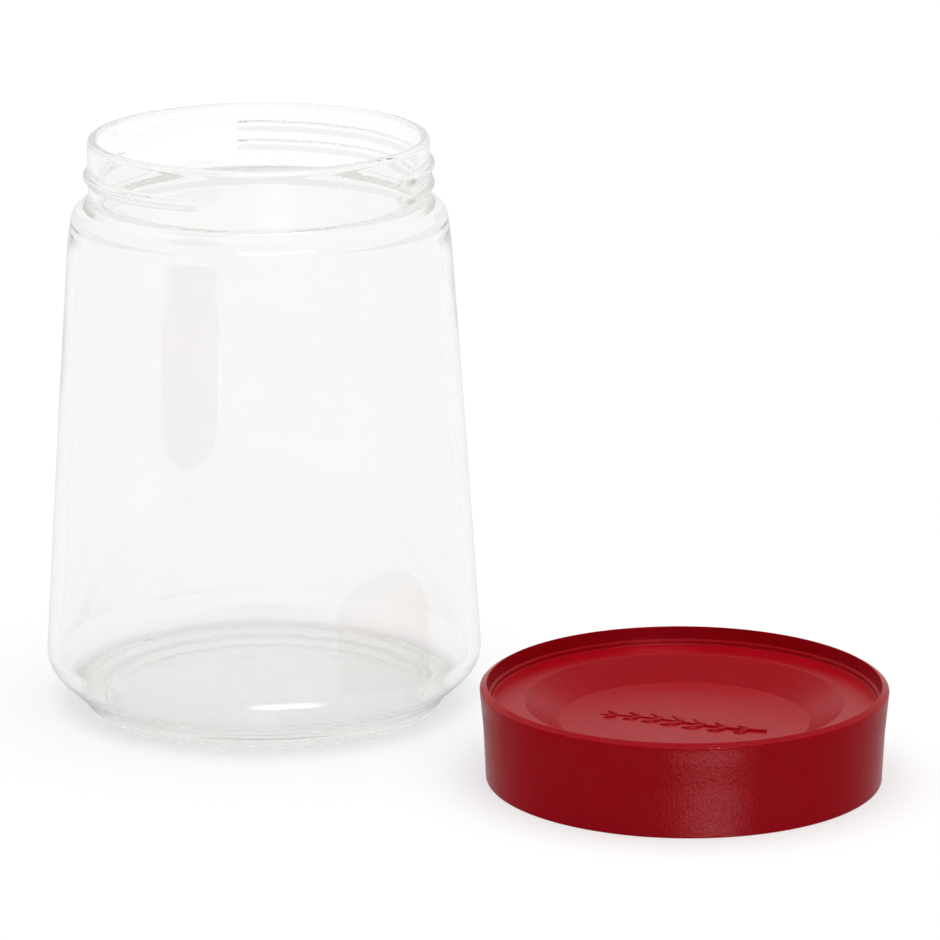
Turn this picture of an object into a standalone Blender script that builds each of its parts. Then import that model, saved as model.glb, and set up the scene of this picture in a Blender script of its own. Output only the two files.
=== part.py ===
"""Glass yogurt jar with its screw lid lying beside it, top side up, and the seal inside the lid.

Metres, +Z up. The surface that both pieces stand on is z = 0, and the origin is the middle of the
floor area that the pair covers. The jar's neck carries a single-start right-hand thread, cut away at
the two mould seams. The lid has an outer skirt and, inside it, a threaded collar that fits the neck.
"""

import math

import bmesh
import bpy

# Round pieces
SEGMENTS = 64  # flats round a full turn
MERGE = 0.00001

# Jar, outside
JAR_HEIGHT = 0.150
JAR_RADIUS = 0.0568  # widest, just above the heel
JAR_RADIUS_Z = 0.0142
SHOULDER_RADIUS = 0.04945  # where the tapered wall ends
SHOULDER_Z = 0.1225
SHOULDER_ROUND = 0.0048
SHOULDER_ROUND_R = 0.04385  # centre of the shoulder's arc
SHOULDER_ROUND_Z = 0.1281
NECK_RADIUS = 0.0440
NECK_FILLET = 0.0015
RIM_THICKNESS = 0.0028
HEEL_ROUND = 0.0080
FOOT_RADIUS = 0.0473
FOOT_HEIGHT = 0.0018
FOOT_FLAT_OUTER = 0.0460  # the flat ring that the jar stands on
FOOT_FLAT_INNER = 0.0442
PUSH_UP_RADIUS = 0.0430
PUSH_UP_LOW = 0.0009
PUSH_UP_HEIGHT = 0.0036  # under 4 mm, so the base is hollow only a little

# Jar, inside
WALL = 0.0030
FLOOR_RADIUS = 0.0462
FLOOR_Z = 0.0066
FLOOR_MIDDLE_Z = 0.0080
INNER_HEEL_Z = 0.0150
INNER_SHOULDER_Z = 0.1255  # where the inner face starts to draw in to the neck

# Thread: centre line at depth THREAD_DEPTH under the rim at angle THREAD_START, falling clockwise
THREAD_LEAD = 0.0050
THREAD_START = 194.0  # degrees, measured from the front (-Y) towards +X
THREAD_DEPTH = 0.0059
THREAD_CREST_RADIUS = 0.0452
THREAD_LENGTHS = ((194.0, 60.0), (-16.0, -124.0), (-166.0, -301.0))  # between the mould seams
RIDGE_FOOT = 0.0023  # width of a ridge at the wall
RIDGE_TOP = 0.0009
RIDGE_ROOT = 0.0006  # how far a ridge reaches into the wall it grows from
RUN_OUT = 10.0  # degrees in which a ridge fades into the wall
RIDGE_STEP = 6.0  # degrees

# Lid, outside
LID_HEIGHT = 0.0245
LID_RADIUS = 0.0513
LID_RADIUS_Z = 0.0230
LID_WAIST_RADIUS = 0.05035  # where the flare under the lip starts
LID_WAIST_Z = 0.0128
LID_FOOT_RADIUS = 0.04975
LID_EDGE = 0.0004
LIP_INNER_RADIUS = 0.0495  # the lip's highest edge; its top slopes down outwards from there
LIP_OUTER_Z = 0.0235

# Lid, recess in the top, which takes the foot of another jar
RECESS_RADIUS = 0.0491
STEP_Z = 0.0211
STEP_DEPTH = 0.0003
LEDGE_WALL_RADIUS = 0.0483
LEDGE_Z = 0.0198
LEDGE_INNER_RADIUS = 0.0401
PANEL_RADIUS = 0.0314
PANEL_Z = 0.0146

# Lid, inside
CROWN = 0.00185  # thickness of the top
SKIRT_INNER_RADIUS = 0.0482
COLLAR_OUTER_RADIUS = 0.0470
COLLAR_INNER_RADIUS = 0.0456
COLLAR_LOW_Z = 0.0010
LID_THREAD_CREST = 0.0446
LID_THREAD = (290.0, -100.0)
FLANK_TO_FLANK = 0.0021  # how far the lid's ridge lies under the jar's when the lid is tight

# Seal, a flat ring against the underside of the top
SEAL_GAP = 0.0003
SEAL_THICKNESS = 0.0014
SEAL_INNER_RADIUS = 0.0410

# Where the pieces stand
LID_FROM_JAR_X = 0.1093
LID_FROM_JAR_Y = -0.0668
JAR_AT = (
    (JAR_RADIUS - LID_FROM_JAR_X - LID_RADIUS) / 2,
    (LID_RADIUS - LID_FROM_JAR_Y - JAR_RADIUS) / 2,
    0.0,
)
LID_AT = (JAR_AT[0] + LID_FROM_JAR_X, JAR_AT[1] + LID_FROM_JAR_Y, 0.0)

CLEAR_GLASS = (0.93, 0.96, 0.94, 1.0)
RED_PLASTIC = (0.40, 0.006, 0.014, 1.0)
WHITE_RUBBER = (0.78, 0.77, 0.73, 1.0)


def clear_scene():
    for old in list(bpy.data.objects):
        bpy.data.objects.remove(old)


def make_material(name, color, roughness, transmission=0.0):
    material = bpy.data.materials.new(name)
    material.use_nodes = True
    shader = material.node_tree.nodes["Principled BSDF"]
    shader.inputs["Base Color"].default_value = color
    shader.inputs["Roughness"].default_value = roughness
    shader.inputs["Metallic"].default_value = 0.0
    shader.inputs["Transmission Weight"].default_value = transmission
    return material


def arc(center_r, center_z, radius, first, last, pieces):
    """Points (r, z) on an arc, angles in degrees from +r towards +z."""
    points = []
    for i in range(pieces + 1):
        angle = math.radians(first + (last - first) * i / pieces)
        points.append((center_r + radius * math.cos(angle), center_z + radius * math.sin(angle)))
    return points


def turned(name, outline, material, place, ring=False):
    """A solid of revolution. The outline runs down its outer side, top to bottom."""
    mesh = bpy.data.meshes.new(name)
    count = len(outline)
    edges = [(i, i + 1) for i in range(count - 1)]
    if ring:
        edges.append((count - 1, 0))
    mesh.from_pydata([(r, 0.0, z) for r, z in outline], edges, [])
    mesh.materials.append(material)
    piece = bpy.data.objects.new(name, mesh)
    piece.location = place
    bpy.context.scene.collection.objects.link(piece)
    screw = piece.modifiers.new("turn", "SCREW")
    screw.angle = math.tau
    screw.steps = SEGMENTS
    screw.render_steps = SEGMENTS
    screw.use_merge_vertices = True
    screw.merge_threshold = MERGE
    screw.use_smooth_shade = True
    return piece


def thread_depth(angle):
    """Depth of the jar thread's centre line under the rim."""
    return THREAD_DEPTH + THREAD_LEAD * (THREAD_START - angle) / 360.0


def ridge(name, wall_radius, crest_radius, height_at, first, last, place):
    """One length of thread as a closed bar that starts inside the wall and fades in at both ends."""
    outwards = 1.0 if crest_radius > wall_radius else -1.0
    root_radius = wall_radius - outwards * RIDGE_ROOT
    sunk_radius = wall_radius - outwards * RIDGE_ROOT / 2
    count = round(abs(last - first) / RIDGE_STEP)
    mesh = bmesh.new()
    rings = []
    for i in range(count + 1):
        angle = first + (last - first) * i / count
        from_end = min(abs(angle - first), abs(angle - last))
        rise = min(from_end / RUN_OUT, 1.0)
        top_radius = sunk_radius + (crest_radius - sunk_radius) * rise
        height = height_at(angle)
        section = (
            (root_radius, -RIDGE_FOOT / 2),
            (top_radius, -RIDGE_TOP / 2),
            (top_radius, RIDGE_TOP / 2),
            (root_radius, RIDGE_FOOT / 2),
        )
        turn = math.radians(angle)
        rings.append(
            [
                mesh.verts.new((r * math.sin(turn), -r * math.cos(turn), height + rise_z))
                for r, rise_z in section
            ]
        )
    for before, after in zip(rings, rings[1:]):
        for i in range(4):
            j = (i + 1) % 4
            mesh.faces.new((before[i], before[j], after[j], after[i]))
    mesh.faces.new(rings[0])
    mesh.faces.new(rings[-1])
    bmesh.ops.recalc_face_normals(mesh, faces=mesh.faces)
    data = bpy.data.meshes.new(name)
    mesh.to_mesh(data)
    mesh.free()
    bar = bpy.data.objects.new(name, data)
    bar.location = place
    bar.hide_render = True
    bar.display_type = "WIRE"
    bpy.context.scene.collection.objects.link(bar)
    return bar


def join(piece, bar):
    union = piece.modifiers.new(bar.name, "BOOLEAN")
    union.operation = "UNION"
    union.solver = "EXACT"
    union.object = bar


def jar_outline():
    """Half section of the jar: inner floor, inner wall, rim, outer wall, heel, foot and base."""
    taper = (JAR_RADIUS - SHOULDER_RADIUS) / (SHOULDER_Z - JAR_RADIUS_Z)
    inner_heel_radius = JAR_RADIUS - WALL - taper * (INNER_HEEL_Z - JAR_RADIUS_Z)
    inner_shoulder_radius = SHOULDER_RADIUS - WALL
    neck_inner_radius = NECK_RADIUS - RIM_THICKNESS
    rim_round = RIM_THICKNESS / 2
    heel_center_r = JAR_RADIUS - HEEL_ROUND
    neck_z = SHOULDER_ROUND_Z + SHOULDER_ROUND + NECK_FILLET
    neck_inner_z = neck_z + NECK_FILLET

    points = [(0.0, FLOOR_MIDDLE_Z), (FLOOR_RADIUS / 2, FLOOR_MIDDLE_Z - 0.0005)]
    for i in range(7):  # a quarter ellipse from the floor to the wall
        turn = math.radians(15.0 * i)
        points.append(
            (
                FLOOR_RADIUS + (inner_heel_radius - FLOOR_RADIUS) * math.sin(turn),
                INNER_HEEL_Z - (INNER_HEEL_Z - FLOOR_Z) * math.cos(turn),
            )
        )
    points.append((inner_shoulder_radius, INNER_SHOULDER_Z))
    for i in range(1, 6):  # an S from the wall to the neck
        share = i / 6
        sway = (1.0 - math.cos(math.pi * share)) / 2
        points.append(
            (
                inner_shoulder_radius + (neck_inner_radius - inner_shoulder_radius) * sway,
                INNER_SHOULDER_Z + (neck_inner_z - INNER_SHOULDER_Z) * share,
            )
        )
    points.append((neck_inner_radius, neck_inner_z + 0.0005))
    points += arc(NECK_RADIUS - rim_round, JAR_HEIGHT - rim_round, rim_round, 180, 0, 8)
    points += arc(NECK_RADIUS + NECK_FILLET, neck_z, NECK_FILLET, 180, 250, 3)
    points += arc(SHOULDER_ROUND_R, SHOULDER_ROUND_Z, SHOULDER_ROUND, 62, 8, 5)
    points.append((SHOULDER_RADIUS, SHOULDER_Z))
    points += arc(heel_center_r, JAR_RADIUS_Z, HEEL_ROUND, 0, -45, 4)
    points.append((FOOT_RADIUS, FOOT_HEIGHT))
    points.append((FOOT_RADIUS - 0.0002, FOOT_HEIGHT / 3))
    points.append((FOOT_FLAT_OUTER, 0.0))
    points.append((FOOT_FLAT_INNER, 0.0))
    points.append((PUSH_UP_RADIUS, PUSH_UP_LOW))
    for share in (0.75, 0.5, 0.25):
        rise = (PUSH_UP_HEIGHT - PUSH_UP_LOW) * (1.0 - share * share)
        points.append((PUSH_UP_RADIUS * share, PUSH_UP_LOW + rise))
    points.append((0.0, PUSH_UP_HEIGHT))
    return points


def lid_outline():
    """Half section of the lid: recessed top, lip, skirt, groove, collar and underside."""
    under_z = LEDGE_Z - CROWN
    return [
        (0.0, PANEL_Z),
        (PANEL_RADIUS, PANEL_Z),
        (LEDGE_INNER_RADIUS, LEDGE_Z),
        (LEDGE_WALL_RADIUS, LEDGE_Z),
        (LEDGE_WALL_RADIUS + 0.0002, STEP_Z - STEP_DEPTH),
        (RECESS_RADIUS, STEP_Z),
        (LIP_INNER_RADIUS, LID_HEIGHT - LID_EDGE),
        (LIP_INNER_RADIUS + LID_EDGE / 2, LID_HEIGHT),
        (LID_RADIUS - LID_EDGE, LIP_OUTER_Z),
        (LID_RADIUS, LID_RADIUS_Z),
        (LID_WAIST_RADIUS, LID_WAIST_Z),
        (LID_FOOT_RADIUS, LID_EDGE),
        (LID_FOOT_RADIUS - LID_EDGE, 0.0),
        (SKIRT_INNER_RADIUS + LID_EDGE, 0.0),
        (SKIRT_INNER_RADIUS, LID_EDGE),
        (SKIRT_INNER_RADIUS, under_z),
        (COLLAR_OUTER_RADIUS, under_z),
        (COLLAR_OUTER_RADIUS, COLLAR_LOW_Z),
        (COLLAR_INNER_RADIUS, COLLAR_LOW_Z),
        (COLLAR_INNER_RADIUS, under_z),
        (LEDGE_INNER_RADIUS - CROWN / 4, under_z),
        (PANEL_RADIUS - CROWN / 4, PANEL_Z - CROWN),
        (0.0, PANEL_Z - CROWN),
    ]


def seal_outline():
    top = LEDGE_Z - CROWN - SEAL_GAP
    outer = COLLAR_INNER_RADIUS - SEAL_GAP
    return [
        (outer, top),
        (outer, top - SEAL_THICKNESS),
        (SEAL_INNER_RADIUS, top - SEAL_THICKNESS),
        (SEAL_INNER_RADIUS, top),
    ]


def make_jar():
    glass = make_material("clear glass", CLEAR_GLASS, 0.02, transmission=1.0)
    jar = turned("jar", jar_outline(), glass, JAR_AT)
    for number, (first, last) in enumerate(THREAD_LENGTHS, 1):
        bar = ridge(
            f"jar_ridge_{number}",
            NECK_RADIUS,
            THREAD_CREST_RADIUS,
            lambda angle: JAR_HEIGHT - thread_depth(angle),
            first,
            last,
            JAR_AT,
        )
        join(jar, bar)


def make_lid():
    seat_z = LEDGE_Z - CROWN - SEAL_GAP - SEAL_THICKNESS  # where the jar's rim meets the seal
    plastic = make_material("red plastic", RED_PLASTIC, 0.35)
    lid = turned("lid", lid_outline(), plastic, LID_AT)
    bar = ridge(
        "lid_ridge",
        COLLAR_INNER_RADIUS,
        LID_THREAD_CREST,
        lambda angle: seat_z - thread_depth(angle) - FLANK_TO_FLANK,
        *LID_THREAD,
        LID_AT,
    )
    join(lid, bar)


def make_seal():
    rubber = make_material("white rubber", WHITE_RUBBER, 0.6)
    turned("lid_seal", seal_outline(), rubber, LID_AT, ring=True)


clear_scene()
make_jar()
make_lid()
make_seal()
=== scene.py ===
import math

import bmesh
import bpy
from mathutils import Matrix, Vector


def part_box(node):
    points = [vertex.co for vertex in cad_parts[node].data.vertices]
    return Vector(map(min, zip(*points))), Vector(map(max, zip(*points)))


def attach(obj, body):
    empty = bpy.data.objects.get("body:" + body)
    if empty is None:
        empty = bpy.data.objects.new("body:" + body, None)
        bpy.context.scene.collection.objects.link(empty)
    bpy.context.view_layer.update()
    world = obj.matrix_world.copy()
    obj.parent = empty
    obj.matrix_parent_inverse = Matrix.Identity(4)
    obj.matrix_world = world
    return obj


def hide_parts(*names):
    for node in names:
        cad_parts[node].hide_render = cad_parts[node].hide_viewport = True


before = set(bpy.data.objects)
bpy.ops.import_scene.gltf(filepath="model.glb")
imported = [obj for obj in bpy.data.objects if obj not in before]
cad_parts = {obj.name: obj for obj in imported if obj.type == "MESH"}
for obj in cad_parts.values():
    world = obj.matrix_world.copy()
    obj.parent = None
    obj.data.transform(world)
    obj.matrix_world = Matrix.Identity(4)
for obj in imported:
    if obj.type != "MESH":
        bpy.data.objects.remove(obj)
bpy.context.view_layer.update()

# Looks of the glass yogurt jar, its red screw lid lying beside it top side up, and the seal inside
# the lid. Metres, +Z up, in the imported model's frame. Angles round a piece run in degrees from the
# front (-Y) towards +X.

jar_low, jar_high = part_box("jar")
lid_low, lid_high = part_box("lid")
seal_low, seal_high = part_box("lid_seal")

# Jar, outside
JAR_AT = Vector(((jar_low.x + jar_high.x) / 2, (jar_low.y + jar_high.y) / 2, 0.0))
JAR_HEIGHT = jar_high.z
JAR_RADIUS = (jar_high.x - jar_low.x) / 2  # widest, just above the heel
JAR_RADIUS_Z = 0.0142
SHOULDER_RADIUS = 0.04945
SHOULDER_Z = 0.1225
SHOULDER_ROUND = 0.0048
SHOULDER_ROUND_R = 0.04385
SHOULDER_ROUND_Z = 0.1281
NECK_RADIUS = 0.0440
NECK_FILLET = 0.0015
NECK_Z = SHOULDER_ROUND_Z + SHOULDER_ROUND + NECK_FILLET
RIM_THICKNESS = 0.0028
HEEL_ROUND = 0.0080
FOOT_RADIUS = 0.0473
FOOT_HEIGHT = 0.0018
FOOT_FLAT_OUTER = 0.0460
FOOT_FLAT_INNER = 0.0442
PUSH_UP_RADIUS = 0.0430
PUSH_UP_LOW = 0.0009
PUSH_UP_HEIGHT = 0.0036
WALL_SWELL = 0.00015  # how far the tapered wall bows out from a straight cone

# Jar, inside
WALL = 0.0030
FLOOR_RADIUS = 0.0462
FLOOR_Z = 0.0066
FLOOR_MIDDLE_Z = 0.0080
INNER_HEEL_Z = 0.0150
INNER_SHOULDER_Z = 0.1255
UNEVEN = 0.00004  # how far the blown inner face wanders
WANDER_IN = 0.030  # heights at which the wander is full, starts to fade and is gone
WANDER_OUT = (0.115, 0.132)

# Points in the jar's outline
DOME_STEPS = 9
INNER_HEEL_STEPS = 12
INNER_SHOULDER_STEPS = 12
WALL_STEPS = 24
PUSH_UP_STEPS = 10
RIM_ARC = (180, 0, 16)  # first and last angle, and pieces
NECK_ARC = (180, 250, 6)
SHOULDER_ARC = (62, 8, 9)
HEEL_ARC = (0, -45, 8)

# Jar thread and mould seams
THREAD_LEAD = 0.0050
THREAD_START = 194.0
THREAD_DEPTH = 0.0059
THREAD_CREST_RADIUS = 0.0452
THREAD_LENGTHS = ((194.0, 60.0), (-16.0, -124.0), (-166.0, -301.0))
RIDGE_UPPER_FOOT = 0.00115
RIDGE_LOWER_FOOT = 0.00200
RIDGE_HALF_TOP = 0.00030
RUN_OUT = 7.0
SEAMS = (30.0, 210.0)
SEAM_HALF_WIDTH = 0.35  # degrees
SEAM_RISE = 0.00004
SEAM_FADE = (0.100, 0.130)  # heights between which the seams come up out of the wall

# Lid
LID_AT = Vector(((lid_low.x + lid_high.x) / 2, (lid_low.y + lid_high.y) / 2, 0.0))
LID_HEIGHT = lid_high.z
LID_RADIUS = (lid_high.x - lid_low.x) / 2
LID_RADIUS_Z = 0.0230
LID_WAIST_RADIUS = 0.05035
LID_WAIST_Z = 0.0128
LID_FOOT_RADIUS = 0.04975
LIP_INNER_RADIUS = 0.0495
LIP_OUTER_Z = 0.0235
RECESS_RADIUS = 0.0491
STEP_Z = 0.0211
STEP_DEPTH = 0.0003
LEDGE_WALL_RADIUS = 0.0483
LEDGE_Z = 0.0198
LEDGE_INNER_RADIUS = 0.0401
PANEL_RADIUS = 0.0314
PANEL_Z = 0.0146
CROWN = 0.00185
SKIRT_INNER_RADIUS = 0.0482
COLLAR_OUTER_RADIUS = 0.0470
COLLAR_INNER_RADIUS = 0.0456
COLLAR_LOW_Z = 0.0010
UNDER_Z = LEDGE_Z - CROWN
LID_THREAD_CREST = 0.0446
LID_THREAD = (290.0, -100.0)
FLANK_TO_FLANK = 0.0021

# Sprig raised on the lid's panel, from the lid's axis
SPRIG_FOOT = Vector((0.0205, -0.0092, 0.0))
SPRIG_TIP = Vector((-0.0210, 0.0045, 0.0))
SPRIG_SWAY = 0.0009
SPRIG_HEIGHT = 0.00060
STEM_HALF = 0.00042
LEAVES = 7  # pairs
LEAF_LENGTH = 0.0066
LEAF_HALF = 0.00100
LEAF_BOW = 0.0006
LEAF_TURN = math.radians(38.0)
LEAF_STEPS = 12
STROKE_ARC = 6
STROKE_SUNK = 0.00015

# Meshes
JAR_SEGMENTS = 224
LID_SEGMENTS = 224
LONGEST = 0.0050  # between two points of an outline
THREAD_ROW = 0.00030  # between two points where a thread runs
ARC_STEP = 12.0  # degrees between the points of a rounded corner
SUPPORT = 0.00015  # from a rounded corner to the point that keeps the flat beside it flat
CORNER_SHARE = 0.45  # of a straight, the most that rounding one of its ends may use
CLOSE = 0.0001  # as good as on a face

# Seal
SEAL_INNER_RADIUS = 0.0410
SEAL_EDGE = 0.0003

# Colours
GLASS_TINTS = ((0.986, 0.987, 0.981, 1.0), (0.974, 0.976, 0.969, 1.0))
GLASS_DEPTH_COLOR = (0.55, 0.65, 0.50, 1.0)
GLASS_DEPTH = 1.0  # per metre
GLASS_IOR = 1.5
GLASS_TINT_SCALE = 30.0
GLASS_WAVES = (90.0, 0.00002)  # scale and height
REDS = ((0.304, 0.0012, 0.0060, 1.0), (0.328, 0.0022, 0.0080, 1.0))
RED_SCALE = 45.0
RED_ROUGHNESS = (0.20, 0.26)
RED_ROUGHNESS_SCALE = 120.0
RED_SPECULAR = 0.085
RED_DIMPLES = (160.0, 0.00006)
RED_GRAIN = (1500.0, 0.00010)
WHITES = ((0.74, 0.73, 0.69, 1.0), (0.80, 0.79, 0.75, 1.0))
WHITE_SCALE = 60.0
WHITE_ROUGHNESS = (0.52, 0.66)
WHITE_ROUGHNESS_SCALE = 200.0
WHITE_GRAIN = (1800.0, 0.00005)

# Camera, in metres and degrees
CAMERA_FROM_JAR = Vector((0.09065, -1.46503, 0.45563))
PITCH = 15.058  # down
YAW = -1.431
ROLL = -0.133
LENS = 223.43  # mm
SENSOR = 36.0  # mm

# Studio. Heights of light are sines of the angle above the horizon
FLOOR_HALF = 5.0
FLOOR_WHITE = (0.43, 0.43, 0.43, 1.0)
FLOOR_GLOW = 0.53  # light from below
SKY_FROM = 0.5
SKY_TO = 1.0
SKY_LOW = 0.15
SKY_HIGH = 2.5
SKY_LEAN = 0.10  # brighter to the right
ROOM_FROM = -0.2
ROOM_FRONT = 0.07
ROOM_BACK = (0.42, 0.76)  # low and high
ROOM_SPLIT = (-0.36, -0.26)
STRIP_TURN = 15.0  # degrees round from the front towards +X
STRIP_NARROW = 0.05  # sines of the half widths at which it starts to fade and is gone
STRIP_WIDE = 0.40
LOW_STRIP = (-0.48, -0.40, -0.30, -0.20)  # heights where it starts, is full, fades and ends
LOW_STRIP_LIGHT = 14.0
HIGH_STRIP = (0.40, 0.48, 0.56, 0.64)
HIGH_STRIP_LIGHT = 75.0
THROUGH_GLASS = 0.92  # how bright the surroundings look through the glass
UNDER_GLASS = 2.0  # how much brighter the light is that reaches the floor through the glass
BOUNCES = 128  # light runs far along inside the wall


def arc(center_r, center_z, radius, first, last, pieces):
    """Points (r, z) on an arc, angles in degrees from +r towards +z."""
    points = []
    for i in range(pieces + 1):
        angle = math.radians(first + (last - first) * i / pieces)
        points.append((center_r + radius * math.cos(angle), center_z + radius * math.sin(angle)))
    return points


def rounded_corner(before, corner, after, radius):
    """Points that round one corner, with one more on each straight beside it."""
    corner = Vector(corner)
    back = Vector(before) - corner
    ahead = Vector(after) - corner
    half = back.angle(ahead) / 2
    most = CORNER_SHARE * min(back.length, ahead.length)
    reach = min(radius / math.tan(half), most)
    back.normalize()
    ahead.normalize()
    center = corner + (back + ahead).normalized() * reach / math.cos(half)
    start = corner + back * reach - center
    sweep = start.angle_signed(corner + ahead * reach - center)
    pieces = max(2, math.ceil(abs(math.degrees(sweep)) / ARC_STEP))
    points = [corner + back * (reach + SUPPORT)]
    for i in range(pieces + 1):
        turn = -sweep * i / pieces
        x = start.x * math.cos(turn) - start.y * math.sin(turn)
        y = start.x * math.sin(turn) + start.y * math.cos(turn)
        points.append(center + Vector((x, y)))
    points.append(corner + ahead * (reach + SUPPORT))
    return [tuple(point) for point in points]


def rounded(corners, ring=False):
    """An outline through corners of (r, z, radius)."""
    count = len(corners)
    points = []
    for i, (r, z, radius) in enumerate(corners):
        end = not ring and i in (0, count - 1)
        if end or radius == 0.0:
            points.append((r, z))
            continue
        before = corners[i - 1][:2]
        after = corners[(i + 1) % count][:2]
        points += rounded_corner(before, (r, z), after, radius)
    return points


def split(outline, longest_at):
    """The outline with more points on its long stretches. longest_at(r, z) is the most allowed."""
    points = [outline[0]]
    for (r0, z0), (r1, z1) in zip(outline, outline[1:]):
        length = math.hypot(r1 - r0, z1 - z0)
        pieces = max(1, math.ceil(length / longest_at((r0 + r1) / 2, (z0 + z1) / 2)))
        for i in range(1, pieces + 1):
            share = i / pieces
            points.append((r0 + (r1 - r0) * share, z0 + (z1 - z0) * share))
    return points


def eased(outline):
    """The outline with each of its corners cut once, so that curves shade smoothly."""
    points = [outline[0]]
    for (r0, z0), (r1, z1) in zip(outline, outline[1:]):
        points.append((0.75 * r0 + 0.25 * r1, 0.75 * z0 + 0.25 * z1))
        points.append((0.25 * r0 + 0.75 * r1, 0.25 * z0 + 0.75 * z1))
    points.append(outline[-1])
    return points


def turned(name, outline, angles, place, swell=None, ring=False):
    """A closed mesh turned from an outline. swell(angle, r, z) is how far a point moves out."""
    mesh = bmesh.new()
    rings = []
    for r, z in outline:
        if r == 0.0:
            rings.append([mesh.verts.new(place + Vector((0.0, 0.0, z)))])
            continue
        row = []
        for angle in angles:
            out = r + (swell(angle, r, z) if swell else 0.0)
            turn = math.radians(angle)
            spot = Vector((out * math.sin(turn), -out * math.cos(turn), z))
            row.append(mesh.verts.new(place + spot))
        rings.append(row)
    pairs = list(zip(rings, rings[1:]))
    if ring:
        pairs.append((rings[-1], rings[0]))
    for upper, lower in pairs:
        for i in range(len(angles)):
            j = (i + 1) % len(angles)
            corners = [upper[i % len(upper)], upper[j % len(upper)]]
            corners += [lower[j % len(lower)], lower[i % len(lower)]]
            mesh.faces.new(dict.fromkeys(corners))
    return finished(name, mesh)


def finished(name, mesh):
    """The object made from a bmesh, smooth and facing out."""
    bmesh.ops.recalc_face_normals(mesh, faces=mesh.faces)
    for face in mesh.faces:
        face.smooth = True
    data = bpy.data.meshes.new(name)
    mesh.to_mesh(data)
    mesh.free()
    piece = bpy.data.objects.new(name, data)
    bpy.context.scene.collection.objects.link(piece)
    return piece


def smooth_step(low, high, value):
    share = min(max((value - low) / (high - low), 0.0), 1.0)
    return share * share * (3.0 - 2.0 * share)


def ridge_rise(angle, z, height_at, first, last):
    """How much of a thread ridge there is at a point: 0 away from it and 1 on its crest."""
    low, high = min(first, last), max(first, last)
    rise = 0.0
    for turn in (-360.0, 0.0, 360.0):
        at = angle + turn
        if not low < at < high:
            continue
        fade = smooth_step(0.0, RUN_OUT, min(at - low, high - at))
        off = z - height_at(at)
        foot = RIDGE_UPPER_FOOT if off > 0.0 else RIDGE_LOWER_FOOT
        rise = max(rise, fade * (1.0 - smooth_step(RIDGE_HALF_TOP, foot, abs(off))))
    return rise


def thread_depth(angle):
    """Depth of the jar thread's centre line under the rim."""
    return THREAD_DEPTH + THREAD_LEAD * (THREAD_START - angle) / 360.0


def jar_thread_z(angle):
    return JAR_HEIGHT - thread_depth(angle)


def lid_thread_z(angle):
    return seal_low.z - thread_depth(angle) - FLANK_TO_FLANK


def around(segments, seams=()):
    """Angles round a full turn, with closer ones at each seam."""
    angles = {360.0 * i / segments for i in range(segments)}
    for seam in seams:
        for offset in (-2.0, -1.0, -0.5, 0.0, 0.5, 1.0, 2.0):
            angles.add((seam + offset * SEAM_HALF_WIDTH) % 360.0)
    return sorted(angles)


def inner_outline():
    """The jar's inside, from the middle of its floor to the rim."""
    taper = (JAR_RADIUS - SHOULDER_RADIUS) / (SHOULDER_Z - JAR_RADIUS_Z)
    heel_radius = JAR_RADIUS - WALL - taper * (INNER_HEEL_Z - JAR_RADIUS_Z)
    shoulder_radius = SHOULDER_RADIUS - WALL
    neck_radius = NECK_RADIUS - RIM_THICKNESS
    neck_z = NECK_Z + NECK_FILLET
    points = []
    for i in range(DOME_STEPS):
        share = i / DOME_STEPS
        dome = (FLOOR_MIDDLE_Z - FLOOR_Z) * (1.0 + math.cos(math.pi * share)) / 2
        points.append((FLOOR_RADIUS * share, FLOOR_Z + dome))
    for i in range(INNER_HEEL_STEPS + 1):
        turn = math.radians(90.0 * i / INNER_HEEL_STEPS)
        r = FLOOR_RADIUS + (heel_radius - FLOOR_RADIUS) * math.sin(turn)
        points.append((r, INNER_HEEL_Z - (INNER_HEEL_Z - FLOOR_Z) * math.cos(turn)))
    points.append((shoulder_radius, INNER_SHOULDER_Z))
    for i in range(1, INNER_SHOULDER_STEPS):
        share = i / INNER_SHOULDER_STEPS
        sway = (1.0 - math.cos(math.pi * share)) / 2
        r = shoulder_radius + (neck_radius - shoulder_radius) * sway
        points.append((r, INNER_SHOULDER_Z + (neck_z - INNER_SHOULDER_Z) * share))
    return points


def outer_outline():
    """The jar's outside, from the rim to the middle of its underside."""
    rim_round = RIM_THICKNESS / 2
    points = arc(NECK_RADIUS - rim_round, JAR_HEIGHT - rim_round, rim_round, *RIM_ARC)
    points += arc(NECK_RADIUS + NECK_FILLET, NECK_Z, NECK_FILLET, *NECK_ARC)
    points += arc(SHOULDER_ROUND_R, SHOULDER_ROUND_Z, SHOULDER_ROUND, *SHOULDER_ARC)
    for i in range(WALL_STEPS):
        share = i / WALL_STEPS
        r = SHOULDER_RADIUS + (JAR_RADIUS - SHOULDER_RADIUS) * share
        z = SHOULDER_Z + (JAR_RADIUS_Z - SHOULDER_Z) * share
        points.append((r + WALL_SWELL * math.sin(math.pi * share), z))
    points += arc(JAR_RADIUS - HEEL_ROUND, JAR_RADIUS_Z, HEEL_ROUND, *HEEL_ARC)
    points += [
        (FOOT_RADIUS, FOOT_HEIGHT),
        (FOOT_RADIUS - 0.0002, FOOT_HEIGHT / 3),
        (FOOT_FLAT_OUTER, 0.0),
        (FOOT_FLAT_INNER, 0.0),
        (PUSH_UP_RADIUS, PUSH_UP_LOW),
    ]
    for i in range(PUSH_UP_STEPS - 1, -1, -1):
        share = i / PUSH_UP_STEPS
        rise = (PUSH_UP_HEIGHT - PUSH_UP_LOW) * (1.0 - share * share)
        points.append((PUSH_UP_RADIUS * share, PUSH_UP_LOW + rise))
    return points


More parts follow.
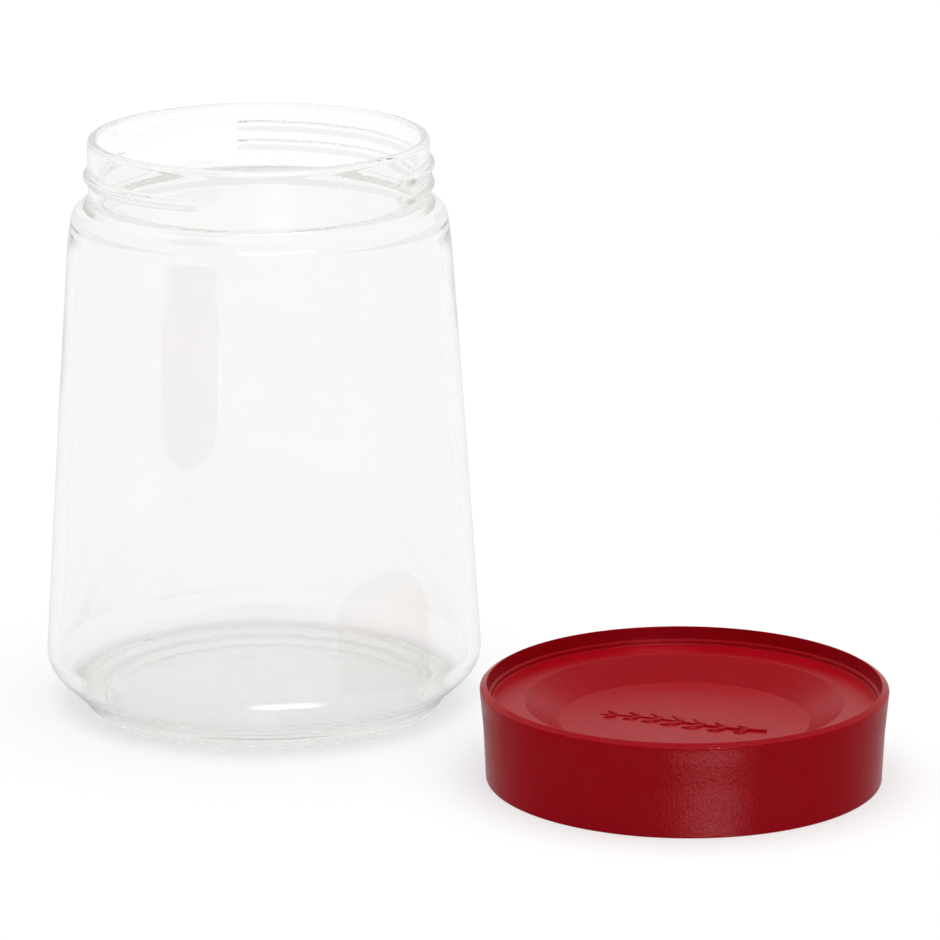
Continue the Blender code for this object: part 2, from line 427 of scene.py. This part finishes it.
def wander(angle, z):
    """How far the blown inner face is off its true shape: broad, gentle waves."""
    turn = math.radians(angle)
    waves = math.sin(2 * turn + 40 * z) + 0.6 * math.sin(3 * turn - 75 * z + 1.0)
    waves += 0.4 * math.sin(5 * turn + 120 * z + 2.0)
    fade = smooth_step(FLOOR_Z, WANDER_IN, z) * (1.0 - smooth_step(*WANDER_OUT, z))
    return UNEVEN * waves * fade


def seam_rise(angle, z):
    nearest = min(abs((angle - seam + 180.0) % 360.0 - 180.0) for seam in SEAMS)
    fade = smooth_step(*SEAM_FADE, z)
    return SEAM_RISE * fade * math.exp(-((nearest / SEAM_HALF_WIDTH) ** 2))


def jar_swell(angle, r, z):
    """Thread and seams on the outside of the wall, and the uneven face inside it."""
    wall = JAR_RADIUS_Z < z < JAR_HEIGHT - RIM_THICKNESS
    if r < NECK_RADIUS - RIM_THICKNESS / 2 or (z < NECK_Z and is_inside(r, z)):
        return wander(angle, z) if z > FLOOR_Z and r > FLOOR_RADIUS / 2 else 0.0
    if not wall:
        return 0.0
    rise = max(ridge_rise(angle, z, jar_thread_z, *ends) for ends in THREAD_LENGTHS)
    return (THREAD_CREST_RADIUS - NECK_RADIUS) * rise + seam_rise(angle, z)


def is_inside(r, z):
    """True for a point of the inner wall below the neck."""
    share = min(max((SHOULDER_Z - z) / (SHOULDER_Z - JAR_RADIUS_Z), 0.0), 1.0)
    outer = SHOULDER_RADIUS + (JAR_RADIUS - SHOULDER_RADIUS) * share
    return r < outer - WALL * 0.6 and z > FLOOR_Z - 0.001


def make_jar():
    def longest(r, z):
        return THREAD_ROW if z > NECK_Z and r > NECK_RADIUS - CLOSE else LONGEST

    outline = split(eased(split(inner_outline() + outer_outline(), lambda r, z: LONGEST)), longest)
    jar = turned("jar_glass", outline, around(JAR_SEGMENTS, SEAMS), JAR_AT, jar_swell)
    jar.data.materials.append(clear_glass())
    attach(jar, "jar")
    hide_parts("jar")


def lid_corners():
    """Half section of the lid: recessed top, lip, skirt, groove, collar and underside."""
    return [
        (0.0, PANEL_Z, 0.0),
        (PANEL_RADIUS, PANEL_Z, 0.0015),
        (LEDGE_INNER_RADIUS, LEDGE_Z, 0.0007),
        (LEDGE_WALL_RADIUS, LEDGE_Z, 0.0004),
        (LEDGE_WALL_RADIUS + 0.0002, STEP_Z - STEP_DEPTH, 0.0002),
        (RECESS_RADIUS, STEP_Z, 0.0002),
        (LIP_INNER_RADIUS, LID_HEIGHT, 0.0002),
        (LID_RADIUS - 0.0001, LIP_OUTER_Z, 0.0005),
        (LID_RADIUS, LID_RADIUS_Z, 0.0),
        (LID_WAIST_RADIUS, LID_WAIST_Z, 0.0500),
        (LID_FOOT_RADIUS, 0.0, 0.0004),
        (SKIRT_INNER_RADIUS, 0.0, 0.0004),
        (SKIRT_INNER_RADIUS, UNDER_Z, 0.0005),
        (COLLAR_OUTER_RADIUS, UNDER_Z, 0.0005),
        (COLLAR_OUTER_RADIUS, COLLAR_LOW_Z, 0.0004),
        (COLLAR_INNER_RADIUS, COLLAR_LOW_Z, 0.0004),
        (COLLAR_INNER_RADIUS, UNDER_Z, 0.0002),
        (LEDGE_INNER_RADIUS - CROWN / 4, UNDER_Z, 0.0006),
        (PANEL_RADIUS - CROWN / 4, PANEL_Z - CROWN, 0.0010),
        (0.0, PANEL_Z - CROWN, 0.0),
    ]


def lid_swell(angle, r, z):
    """The ridge on the collar's inner face."""
    on_collar = abs(r - COLLAR_INNER_RADIUS) < CLOSE and z < UNDER_Z - 0.0010
    if not on_collar:
        return 0.0
    rise = ridge_rise(angle, z, lid_thread_z, *LID_THREAD)
    return (LID_THREAD_CREST - COLLAR_INNER_RADIUS) * rise


def raised_stroke(mesh, path, half_widths, height):
    """A closed, rounded ridge along a path on the panel, sunk a little into it."""
    widest = max(half_widths)
    rings = []
    for i, spot in enumerate(path):
        ahead = path[min(i + 1, len(path) - 1)] - path[max(i - 1, 0)]
        side = Vector((ahead.y, -ahead.x, 0.0)).normalized()
        half = half_widths[i]
        section = [(half, -STROKE_SUNK)]
        for x, z in arc(0.0, 0.0, 1.0, 0.0, 180.0, STROKE_ARC):
            section.append((half * x, height * z * math.sqrt(half / widest)))
        section.append((-half, -STROKE_SUNK))
        rings.append([mesh.verts.new(spot + side * x + Vector((0.0, 0.0, z))) for x, z in section])
    for before, after in zip(rings, rings[1:]):
        for i in range(len(before)):
            j = (i + 1) % len(before)
            mesh.faces.new((before[i], before[j], after[j], after[i]))
    mesh.faces.new(rings[0])
    mesh.faces.new(rings[-1])


def sprig_spot(share):
    """A point on the sprig's stem, from its foot at 0 to its tip at 1."""
    along = SPRIG_TIP - SPRIG_FOOT
    across = Vector((-along.y, along.x, 0.0)).normalized()
    return SPRIG_FOOT + along * share + across * SPRIG_SWAY * math.sin(math.tau * share)


def make_sprig(red):
    """A sprig of leaves raised on the lid's panel."""
    mesh = bmesh.new()
    lift = LID_AT + Vector((0.0, 0.0, PANEL_Z))
    count = 48
    stem = [lift + sprig_spot(i / count) for i in range(count + 1)]
    widths = [STEM_HALF * (1.1 - i / count) for i in range(count + 1)]
    raised_stroke(mesh, stem, widths, SPRIG_HEIGHT)
    for number in range(LEAVES):
        share = 0.10 + 0.80 * number / (LEAVES - 1)
        foot = sprig_spot(share)
        ahead = (sprig_spot(share + 0.01) - foot).normalized()
        size = 1.0 - 0.45 * abs(2.0 * share - 0.9)
        for side in (-1.0, 1.0):
            aim = Matrix.Rotation(side * LEAF_TURN, 3, "Z") @ ahead
            bow = Matrix.Rotation(side * math.pi / 2, 3, "Z") @ aim
            path = []
            widths = []
            for i in range(LEAF_STEPS + 1):
                step = i / LEAF_STEPS
                curl = LEAF_BOW * size * math.sin(math.pi * step)
                path.append(lift + foot + aim * LEAF_LENGTH * size * step + bow * curl)
                widths.append(LEAF_HALF * size * (0.06 + math.sin(math.pi * step ** 0.8)))
            raised_stroke(mesh, path, widths, SPRIG_HEIGHT)
    sprig = finished("lid_sprig", mesh)
    sprig.data.materials.append(red)
    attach(sprig, "lid")


def make_lid():
    def longest(r, z):
        return THREAD_ROW if abs(r - COLLAR_INNER_RADIUS) < CLOSE else LONGEST

    red = red_plastic()
    outline = split(rounded(lid_corners()), longest)
    lid = turned("lid_shell", outline, around(LID_SEGMENTS), LID_AT, lid_swell)
    lid.data.materials.append(red)
    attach(lid, "lid")
    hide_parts("lid")
    make_sprig(red)


def make_seal():
    outer = (seal_high.x - seal_low.x) / 2
    corners = [
        (outer, seal_high.z, SEAL_EDGE),
        (outer, seal_low.z, SEAL_EDGE),
        (SEAL_INNER_RADIUS, seal_low.z, SEAL_EDGE),
        (SEAL_INNER_RADIUS, seal_high.z, SEAL_EDGE),
    ]
    seal = turned("seal_ring", rounded(corners, ring=True), around(LID_SEGMENTS), LID_AT, ring=True)
    seal.data.materials.append(white_rubber())
    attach(seal, "seal")
    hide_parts("lid_seal")


class Nodes:
    """A node tree, with short ways to add nodes to it."""

    def __init__(self, tree, place):
        self.tree = tree
        self.place = self.add("ShaderNodeTexCoord").outputs[place]

    def add(self, kind, **values):
        node = self.tree.nodes.new(kind)
        for name, value in values.items():
            node.inputs[name].default_value = value
        return node

    def link(self, source, target):
        self.tree.links.new(source, target)

    def noise(self, scale, detail=2.0):
        node = self.add("ShaderNodeTexNoise", Scale=scale, Detail=detail)
        self.link(self.place, node.inputs["Vector"])
        return node.outputs["Fac"]

    def ramp(self, value, start, end, first, last, smooth=False):
        """first to last as a value runs from start to end."""
        node = self.add("ShaderNodeMapRange")
        node.interpolation_type = "SMOOTHSTEP" if smooth else "LINEAR"
        node.inputs["From Min"].default_value = start
        node.inputs["From Max"].default_value = end
        node.inputs["To Min"].default_value = first
        node.inputs["To Max"].default_value = last
        self.link(value, node.inputs["Value"])
        return node.outputs["Result"]

    def between(self, fac, low, high):
        """low to high as fac runs from 0.3 to 0.7, where most of a noise lies."""
        return self.ramp(fac, 0.3, 0.7, low, high)

    def blend(self, fac, first, second):
        node = self.tree.nodes.new("ShaderNodeMix")
        node.data_type = "RGBA"
        node.inputs[6].default_value = first
        node.inputs[7].default_value = second
        self.link(fac, node.inputs[0])
        return node.outputs[2]

    def put(self, value, target):
        """Gives an input its value, which is a socket or a number."""
        if isinstance(value, float):
            target.default_value = value
        else:
            self.link(value, target)

    def either(self, switch, off, on):
        """off where the switch is 0, on where it is 1."""
        node = self.tree.nodes.new("ShaderNodeMix")
        self.put(switch, node.inputs[0])
        self.put(off, node.inputs[2])
        self.put(on, node.inputs[3])
        return node.outputs[0]

    def lean(self, side, amount):
        return self.ramp(side, -1.0, 1.0, 1.0 - amount, 1.0 + amount)

    def math(self, operation, first, second):
        node = self.tree.nodes.new("ShaderNodeMath")
        node.operation = operation
        self.put(first, node.inputs[0])
        self.put(second, node.inputs[1])
        return node.outputs[0]

    def bump(self, height, distance, normal=None):
        node = self.add("ShaderNodeBump", Distance=distance)
        self.link(height, node.inputs["Height"])
        if normal:
            self.link(normal, node.inputs["Normal"])
        return node.outputs["Normal"]


def new_material(name):
    material = bpy.data.materials.new(name)
    material.use_nodes = True
    nodes = Nodes(material.node_tree, "Object")
    return material, nodes, material.node_tree.nodes["Principled BSDF"]


def clear_glass():
    """Clear soda-lime glass with the soft unevenness of a pressed and blown jar."""
    material, nodes, shader = new_material("clear glass")
    shader.inputs["Transmission Weight"].default_value = 1.0
    shader.inputs["Roughness"].default_value = 0.0
    shader.inputs["IOR"].default_value = GLASS_IOR
    tint = nodes.blend(nodes.noise(GLASS_TINT_SCALE), *GLASS_TINTS)
    nodes.link(tint, shader.inputs["Base Color"])
    scale, height = GLASS_WAVES
    nodes.link(nodes.bump(nodes.noise(scale), height), shader.inputs["Normal"])
    depth = nodes.add("ShaderNodeVolumeAbsorption", Color=GLASS_DEPTH_COLOR, Density=GLASS_DEPTH)
    nodes.link(depth.outputs[0], nodes.tree.nodes["Material Output"].inputs["Volume"])
    return material


def red_plastic():
    """Moulded red polypropylene: a fine satin grain, a little uneven in colour and gloss."""
    material, nodes, shader = new_material("red plastic")
    red = nodes.blend(nodes.noise(RED_SCALE, 4.0), *REDS)
    nodes.link(red, shader.inputs["Base Color"])
    dull = nodes.between(nodes.noise(RED_ROUGHNESS_SCALE, 4.0), *RED_ROUGHNESS)
    nodes.link(dull, shader.inputs["Roughness"])
    shader.inputs["Specular IOR Level"].default_value = RED_SPECULAR
    scale, height = RED_DIMPLES
    dimples = nodes.bump(nodes.noise(scale), height)
    scale, height = RED_GRAIN
    nodes.link(nodes.bump(nodes.noise(scale), height, dimples), shader.inputs["Normal"])
    return material


def white_rubber():
    """Matt white rubber with a fine moulded grain."""
    material, nodes, shader = new_material("white rubber")
    white = nodes.blend(nodes.noise(WHITE_SCALE, 4.0), *WHITES)
    nodes.link(white, shader.inputs["Base Color"])
    dull = nodes.between(nodes.noise(WHITE_ROUGHNESS_SCALE, 4.0), *WHITE_ROUGHNESS)
    nodes.link(dull, shader.inputs["Roughness"])
    scale, height = WHITE_GRAIN
    nodes.link(nodes.bump(nodes.noise(scale, 3.0), height), shader.inputs["Normal"])
    return material


def add_camera():
    data = bpy.data.cameras.new("camera")
    data.lens = LENS
    data.sensor_width = SENSOR
    camera = bpy.data.objects.new("camera", data)
    aim = Matrix.Rotation(math.radians(-YAW), 4, "Z")
    aim @= Matrix.Rotation(math.radians(90.0 - PITCH), 4, "X")
    aim @= Matrix.Rotation(math.radians(ROLL), 4, "Z")
    camera.matrix_world = Matrix.Translation(JAR_AT + CAMERA_FROM_JAR) @ aim
    bpy.context.scene.collection.objects.link(camera)
    bpy.context.scene.camera = camera


def add_floor():
    """A plain pale floor that glows a little, like a light table. Reflections don't show it."""
    mesh = bmesh.new()
    spots = [(-1, -1), (1, -1), (1, 1), (-1, 1)]
    mesh.faces.new([mesh.verts.new((x * FLOOR_HALF, y * FLOOR_HALF, 0.0)) for x, y in spots])
    floor = finished("floor", mesh)
    paint = bpy.data.materials.new("floor white")
    paint.use_nodes = True
    shader = paint.node_tree.nodes["Principled BSDF"]
    shader.inputs["Base Color"].default_value = FLOOR_WHITE
    shader.inputs["Roughness"].default_value = 0.9
    shader.inputs["Specular IOR Level"].default_value = 0.0
    shader.inputs["Emission Color"].default_value = (1.0, 1.0, 1.0, 1.0)
    shader.inputs["Emission Strength"].default_value = FLOOR_GLOW
    floor.data.materials.append(paint)
    floor.visible_glossy = False


def add_light():
    """A broad soft light overhead. Reflections show a dim room with an upright strip light in
    front, and what is seen through the glass is white."""
    world = bpy.data.worlds.new("studio")
    bpy.context.scene.world = world
    world.use_nodes = True
    nodes = Nodes(world.node_tree, "Generated")
    parts = nodes.tree.nodes.new("ShaderNodeSeparateXYZ")
    nodes.link(nodes.place, parts.inputs[0])
    right, back, up = parts.outputs
    overhead = nodes.ramp(up, SKY_FROM, SKY_TO, SKY_LOW, SKY_HIGH, smooth=True)
    light = nodes.math("MULTIPLY", overhead, nodes.lean(right, SKY_LEAN))
    behind = nodes.ramp(back, ROOM_FROM, 1.0, 0.0, 1.0, smooth=True)
    room_back = nodes.ramp(up, *ROOM_SPLIT, *ROOM_BACK, smooth=True)
    room = nodes.either(behind, ROOM_FRONT, room_back)
    for (from_low, to_low, to_high, from_high), strength in (
        (LOW_STRIP, LOW_STRIP_LIGHT),
        (HIGH_STRIP, HIGH_STRIP_LIGHT),
    ):
        side = nodes.ramp(strip_side(nodes), STRIP_NARROW, STRIP_WIDE, strength, 0.0, smooth=True)
        low = nodes.ramp(up, from_low, to_low, 0.0, 1.0, smooth=True)
        high = nodes.ramp(up, to_high, from_high, 1.0, 0.0, smooth=True)
        front = nodes.ramp(back, -0.1, 0.0, 1.0, 0.0)
        strip = nodes.math("MULTIPLY", side, front)
        strip = nodes.math("MULTIPLY", strip, nodes.math("MULTIPLY", low, high))
        room = nodes.math("ADD", room, strip)
    path = nodes.tree.nodes.new("ShaderNodeLightPath")
    seen = nodes.either(path.outputs["Is Glossy Ray"], light, room)
    under = nodes.math("MULTIPLY", light, UNDER_GLASS)
    through = nodes.either(path.outputs["Diffuse Depth"], THROUGH_GLASS, under)
    seen = nodes.either(path.outputs["Is Transmission Ray"], seen, through)
    background = nodes.tree.nodes["Background"]
    background.inputs["Color"].default_value = (1.0, 1.0, 1.0, 1.0)
    nodes.link(seen, background.inputs["Strength"])


def strip_side(nodes):
    """How far a direction lies to the side of the strip light, as a sine."""
    turn = math.radians(STRIP_TURN)
    node = nodes.tree.nodes.new("ShaderNodeVectorMath")
    node.operation = "DOT_PRODUCT"
    nodes.link(nodes.place, node.inputs[0])
    node.inputs[1].default_value = (math.cos(turn), math.sin(turn), 0.0)
    off = nodes.tree.nodes.new("ShaderNodeMath")
    off.operation = "ABSOLUTE"
    nodes.link(node.outputs["Value"], off.inputs[0])
    return off.outputs[0]


scene = bpy.context.scene
scene.view_settings.view_transform = "Standard"
scene.cycles.max_bounces = BOUNCES
scene.cycles.glossy_bounces = BOUNCES
scene.cycles.transmission_bounces = BOUNCES
make_jar()
make_lid()
make_seal()
add_camera()
add_floor()
add_light()
